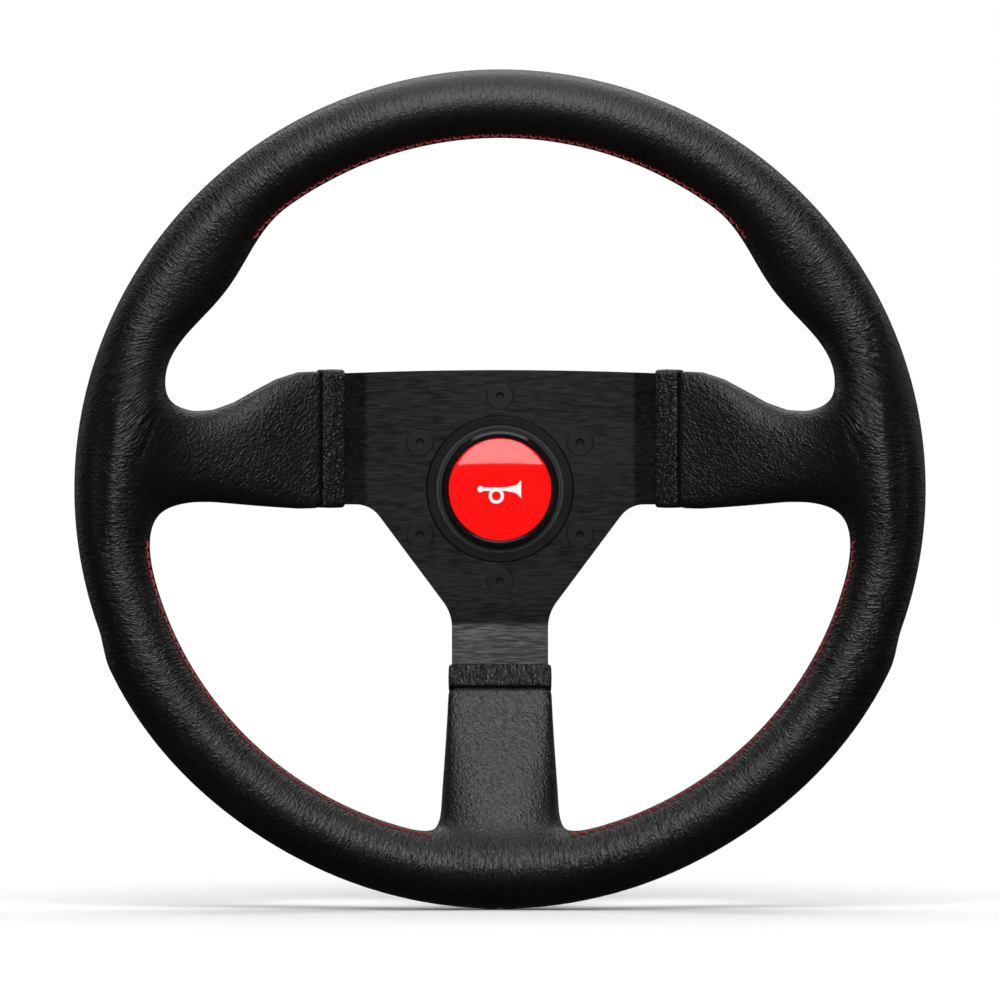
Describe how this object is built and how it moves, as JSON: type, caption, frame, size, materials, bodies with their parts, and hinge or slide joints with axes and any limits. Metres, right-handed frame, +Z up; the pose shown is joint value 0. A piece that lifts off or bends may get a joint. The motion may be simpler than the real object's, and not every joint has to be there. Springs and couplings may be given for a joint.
{
  "type": "steering wheel",
  "caption": "Three-spoke leather racing steering wheel with a spring-loaded horn button and a ball-lock quick release hub that slides onto a splined column stub.",
  "frame": {"origin": "centre of the coupling's mouth, where the column stub enters", "axes": "+Y along the column, away from the driver, +Z up when the lower spoke points down, +X to the driver's right"},
  "size_m": [0.3198, 0.107, 0.3152],
  "materials": {
    "plate_black": "brushed, black anodised",
    "core_steel": "drawn tube",
    "grip_foam": "moulded polyurethane foam",
    "leather_black": "fine pebble grain, satin",
    "band_black": "smooth, satin",
    "thread_red": "waxed twisted thread",
    "screw_black": "black oxide",
    "ring_black": "satin black anodised",
    "housing_plastic": "moulded",
    "button_black": "gloss",
    "disc_red": "gloss",
    "symbol_white": "gloss",
    "lens_clear": "clear domed resin",
    "spring_steel": "drawn wire",
    "brass": "bare",
    "tinned_brass": "tin plated, satin",
    "connector_red": "moulded",
    "lead_red": "insulated wire",
    "lead_black": "insulated wire",
    "hub_black": "satin black anodised",
    "bush_steel": "broached",
    "carrier_tan": "phenolic laminate",
    "sleeve_red": "red anodised",
    "ball_steel": "polished bearing steel"
  },
  "bodies": {
    "wheel": {"spoke_plate": "plate_black", "rim_core": "core_steel", "rim_foam": "grip_foam", "rim_leather_upper": "leather_black", "rim_leather_lower_left": "leather_black", "rim_leather_lower_right": "leather_black", "spoke_leather_left": "leather_black", "spoke_leather_right": "leather_black", "spoke_leather_lower": "leather_black", "end_band_left": "band_black", "end_band_right": "band_black", "end_band_lower": "band_black", "stitching_upper": "thread_red", "stitching_lower_left": "thread_red", "stitching_lower_right": "thread_red", "wheel_screws": "screw_black", "horn_ring": "ring_black", "horn_housing": "housing_plastic", "horn_spring": "spring_steel", "horn_fixed_contact": "brass", "horn_terminals": "tinned_brass", "lead_connectors": "connector_red", "live_lead": "lead_red", "earth_lead": "lead_black", "earth_tag": "tinned_brass", "bush_washers": "spring_steel", "hub_body": "hub_black", "spline_bush": "bush_steel", "bush_screws": "screw_black", "contact_carrier": "carrier_tan", "contact_tag": "brass", "contact_retainer": "brass", "contact_spring": "spring_steel", "sleeve_spring": "spring_steel", "sleeve_circlip": "screw_black"},
    "horn_button": {"horn_cap": "button_black", "horn_disc": "disc_red", "horn_symbol": "symbol_white", "horn_lens": "lens_clear", "horn_moving_contact": "brass"},
    "release_sleeve": {"release_sleeve": "sleeve_red"},
    "lock_ball_1": {"lock_ball_1": "ball_steel"},
    "lock_ball_2": {"lock_ball_2": "ball_steel"},
    "lock_ball_3": {"lock_ball_3": "ball_steel"},
    "lock_ball_4": {"lock_ball_4": "ball_steel"},
    "lock_ball_5": {"lock_ball_5": "ball_steel"},
    "lock_ball_6": {"lock_ball_6": "ball_steel"},
    "contact_pin": {"contact_pin": "brass"}
  },
  "joints": [
    {"name": "sleeve_slide", "type": "slide", "parent": "wheel", "child": "release_sleeve", "axis": [0, -1, 0], "range_m": [0, 0.0065], "stiffness_N_per_m": 1500, "springref_m": -0.006, "deforming": ["sleeve_spring"]},
    {"name": "horn_press", "type": "slide", "parent": "wheel", "child": "horn_button", "axis": [0, 1, 0], "range_m": [0, 0.002], "stiffness_N_per_m": 2000, "springref_m": -0.002, "deforming": ["horn_spring"]},
    {"name": "contact_pin_slide", "type": "slide", "parent": "wheel", "child": "contact_pin", "axis": [0, -1, 0], "range_m": [0, 0.002], "stiffness_N_per_m": 300, "springref_m": -0.001, "deforming": ["contact_spring"]},
    {"name": "ball_1_lift", "type": "slide", "parent": "wheel", "child": "lock_ball_1", "axis": [0, 0, 1], "range_m": [0, 0.0016]},
    {"name": "ball_2_lift", "type": "slide", "parent": "wheel", "child": "lock_ball_2", "axis": [-0.866, 0, 0.5], "range_m": [0, 0.0016]},
    {"name": "ball_3_lift", "type": "slide", "parent": "wheel", "child": "lock_ball_3", "axis": [-0.866, 0, -0.5], "range_m": [0, 0.0016]},
    {"name": "ball_4_lift", "type": "slide", "parent": "wheel", "child": "lock_ball_4", "axis": [0, 0, -1], "range_m": [0, 0.0016]},
    {"name": "ball_5_lift", "type": "slide", "parent": "wheel", "child": "lock_ball_5", "axis": [0.866, 0, -0.5], "range_m": [0, 0.0016]},
    {"name": "ball_6_lift", "type": "slide", "parent": "wheel", "child": "lock_ball_6", "axis": [0.866, 0, 0.5], "range_m": [0, 0.0016]}
  ],
  "couplings": [
    {"joint": "ball_1_lift", "follows": "sleeve_slide", "ratio": 0.24615},
    {"joint": "ball_2_lift", "follows": "sleeve_slide", "ratio": 0.24615},
    {"joint": "ball_3_lift", "follows": "sleeve_slide", "ratio": 0.24615},
    {"joint": "ball_4_lift", "follows": "sleeve_slide", "ratio": 0.24615},
    {"joint": "ball_5_lift", "follows": "sleeve_slide", "ratio": 0.24615},
    {"joint": "ball_6_lift", "follows": "sleeve_slide", "ratio": 0.24615}
  ]
}
